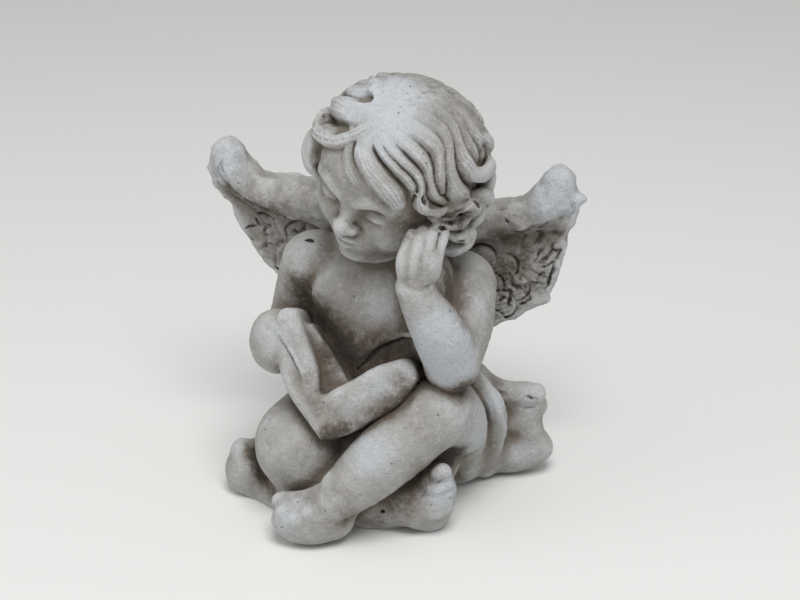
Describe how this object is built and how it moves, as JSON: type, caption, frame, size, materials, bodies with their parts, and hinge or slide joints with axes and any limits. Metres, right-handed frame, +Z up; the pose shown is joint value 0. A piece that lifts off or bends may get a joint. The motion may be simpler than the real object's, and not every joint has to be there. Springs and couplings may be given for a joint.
{
  "type": "putto statue",
  "caption": "Cast stone garden putto: a seated winged child with crossed legs, its head leaning on a hand over an open book, flat underneath.",
  "frame": {"origin": "on the flat underside, under the middle of the trunk", "axes": "+Z up, -Y the way the figure's chest faces, +X to the figure's own left"},
  "size_m": [0.215, 0.1591, 0.243],
  "materials": {
    "stone": "weathered cast stone, pale grey, worn to a bluish grey on what stands out and brown in the hollows"
  },
  "bodies": {
    "root": {"putto_statue": "stone"}
  },
  "joints": []
}
